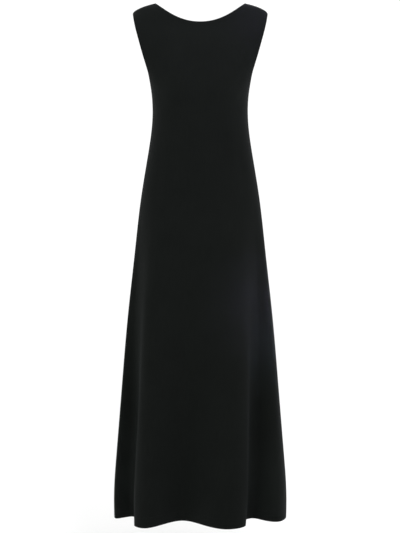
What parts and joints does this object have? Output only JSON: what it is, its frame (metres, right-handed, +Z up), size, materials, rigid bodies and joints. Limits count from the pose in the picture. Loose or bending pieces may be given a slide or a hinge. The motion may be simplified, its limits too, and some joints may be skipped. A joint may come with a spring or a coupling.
{
  "type": "maxi dress",
  "caption": "Sleeveless A-line maxi dress in a plain jersey, open at neck, armholes and hem, filled out as worn with no wearer, with deep soft folds in the skirt.",
  "frame": {"origin": "Midway between the neck ends of the two shoulder seams, in the plane of the shoulder and side seams, where the wearer's shoulders hold the dress up.", "axes": "+Z up, from the hem to the shoulders; the front of the dress faces -Y; +X runs to the right of someone looking at the front."},
  "size_m": [0.4792, 0.2922, 1.4211],
  "materials": {
    "front": "matt black crepe jersey",
    "back": "matt black crepe jersey"
  },
  "bodies": {
    "root": {"front": "front", "back": "back"}
  },
  "joints": []
}
